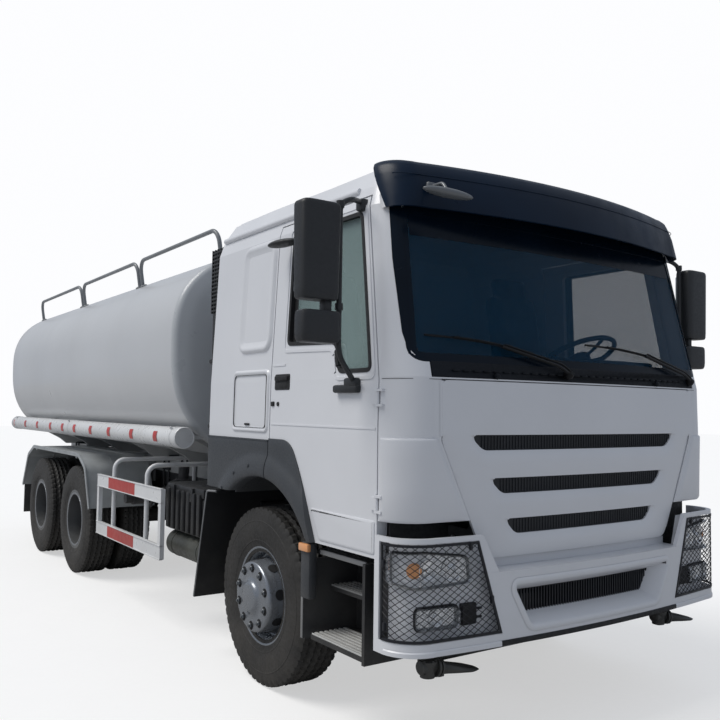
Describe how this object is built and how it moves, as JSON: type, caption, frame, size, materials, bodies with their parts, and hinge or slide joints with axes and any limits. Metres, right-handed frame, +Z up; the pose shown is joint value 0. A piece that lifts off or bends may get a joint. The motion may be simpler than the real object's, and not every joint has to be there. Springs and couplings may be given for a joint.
{
  "type": "water tanker truck",
  "caption": "White water tanker truck: tilting cab over a steered front axle, long rounded tank with roof rails and side pipes, and twin-tyred rear axles.",
  "frame": {"origin": "on the ground, under the middle of the whole vehicle's bounding box", "axes": "+X to the front of the vehicle, +Y to its left side, +Z up"},
  "size_m": [8.698, 3.224, 3.0328],
  "materials": {
    "white_paint": "gloss white coach paint",
    "tank_paint": "gloss white tank paint",
    "rail_paint": "gloss white paint on tube",
    "grey_guard": "pale grey sheet steel",
    "dark_cladding": "moulded dark grey plastic",
    "visor_plastic": "dark blue-black tinted plastic",
    "cowl_plastic": "black moulded plastic",
    "chassis_paint": "black chassis paint",
    "cast_steel": "black painted castings",
    "spring_steel": "dark spring steel",
    "black_plastic": "black plastic",
    "interior_grey": "dark grey cab trim",
    "seat_cloth": "dark woven cloth",
    "cab_glass": "tinted glass",
    "lamp_clear": "clear lamp lens over a bright reflector",
    "lamp_red": "red lamp lens",
    "alloy": "bare alloy",
    "tyre_rubber": "black tyre rubber",
    "rim_silver": "silver wheel paint",
    "step_black": "black plastic step box"
  },
  "bodies": {
    "chassis": {"chassis_frame": "chassis_paint", "front_axle": "cast_steel", "drive_axles": "cast_steel", "prop_shafts": "chassis_paint", "leaf_springs": "spring_steel", "engine": "cast_steel", "radiator": "alloy", "front_bumper": "white_paint", "lamps": "lamp_clear", "lamp_guards": "chassis_paint", "entry_steps": "step_black", "front_mudguards": "black_plastic", "rear_mudguards": "grey_guard", "side_guards": "white_paint", "battery_box": "black_plastic", "fuel_tank": "alloy", "air_intake": "cowl_plastic", "water_pump": "chassis_paint", "front_sprinklers": "chassis_paint", "water_tank": "tank_paint", "cradle_beams": "rail_paint", "tank_saddles": "rail_paint", "top_rails": "rail_paint", "hose_tubes": "rail_paint", "rear_underrun": "chassis_paint", "tail_lamps": "lamp_red", "rear_ladder": "rail_paint"},
    "cab": {"cab_shell": "white_paint", "windscreen": "cab_glass", "wipers": "cowl_plastic", "sun_visor": "visor_plastic", "cab_arches": "dark_cladding", "dashboard": "interior_grey", "seats": "seat_cloth", "steering_wheel": "interior_grey"},
    "front_flap": {"front_flap": "white_paint"},
    "door_right": {"door_right": "white_paint", "door_glass_right": "cab_glass", "mirror_right": "cowl_plastic", "door_arch_right": "dark_cladding"},
    "door_left": {"door_left": "white_paint", "door_glass_left": "cab_glass", "mirror_left": "cowl_plastic", "door_arch_left": "dark_cladding"},
    "knuckle_right": {"knuckle_right": "cast_steel"},
    "knuckle_left": {"knuckle_left": "cast_steel"},
    "manhole_lid": {"manhole_lid": "tank_paint"},
    "wheel_front_right": {"front_right_tyre": "tyre_rubber", "front_right_rim": "rim_silver"},
    "wheel_front_left": {"front_left_tyre": "tyre_rubber", "front_left_rim": "rim_silver"},
    "wheel_mid_right": {"mid_right_tyre": "tyre_rubber", "mid_right_rim": "rim_silver"},
    "wheel_mid_left": {"mid_left_tyre": "tyre_rubber", "mid_left_rim": "rim_silver"},
    "wheel_rear_right": {"rear_right_tyre": "tyre_rubber", "rear_right_rim": "rim_silver"},
    "wheel_rear_left": {"rear_left_tyre": "tyre_rubber", "rear_left_rim": "rim_silver"}
  },
  "joints": [
    {"name": "cab_tilt", "type": "hinge", "parent": "chassis", "child": "cab", "pos_m": [4.115, 0, 1.115], "axis": [0, 1, 0], "range_deg": [0, 50]},
    {"name": "flap_lift", "type": "hinge", "parent": "cab", "child": "front_flap", "pos_m": [4.255, 0, 1.764], "axis": [0, -1, 0], "range_deg": [0, 75]},
    {"name": "door_swing_right", "type": "hinge", "parent": "cab", "child": "door_right", "pos_m": [4.0275, -1.218, 1.45], "axis": [0, 0, 1], "range_deg": [0, 70]},
    {"name": "door_swing_left", "type": "hinge", "parent": "cab", "child": "door_left", "pos_m": [4.0275, 1.218, 1.45], "axis": [0, 0, -1], "range_deg": [0, 70]},
    {"name": "steer_right", "type": "hinge", "parent": "chassis", "child": "knuckle_right", "pos_m": [2.785, -0.8, 0.525], "axis": [0, 0, 1], "range_deg": [-35, 35]},
    {"name": "steer_left", "type": "hinge", "parent": "chassis", "child": "knuckle_left", "pos_m": [2.785, 0.8, 0.525], "axis": [0, 0, 1], "range_deg": [-35, 35]},
    {"name": "lid_lift", "type": "hinge", "parent": "chassis", "child": "manhole_lid", "pos_m": [-2.187, 0, 2.979], "axis": [0, -1, 0], "range_deg": [0, 100]},
    {"name": "spin_front_right", "type": "hinge", "parent": "knuckle_right", "child": "wheel_front_right", "pos_m": [2.785, 0, 0.525], "axis": [0, 1, 0], "continuous": true},
    {"name": "spin_front_left", "type": "hinge", "parent": "knuckle_left", "child": "wheel_front_left", "pos_m": [2.785, 0, 0.525], "axis": [0, 1, 0], "continuous": true},
    {"name": "spin_mid_right", "type": "hinge", "parent": "chassis", "child": "wheel_mid_right", "pos_m": [-1.04, 0, 0.525], "axis": [0, 1, 0], "continuous": true},
    {"name": "spin_mid_left", "type": "hinge", "parent": "chassis", "child": "wheel_mid_left", "pos_m": [-1.04, 0, 0.525], "axis": [0, 1, 0], "continuous": true},
    {"name": "spin_rear_right", "type": "hinge", "parent": "chassis", "child": "wheel_rear_right", "pos_m": [-2.39, 0, 0.525], "axis": [0, 1, 0], "continuous": true},
    {"name": "spin_rear_left", "type": "hinge", "parent": "chassis", "child": "wheel_rear_left", "pos_m": [-2.39, 0, 0.525], "axis": [0, 1, 0], "continuous": true}
  ],
  "couplings": [
    {"joint": "steer_left", "follows": "steer_right", "ratio": 1}
  ]
}
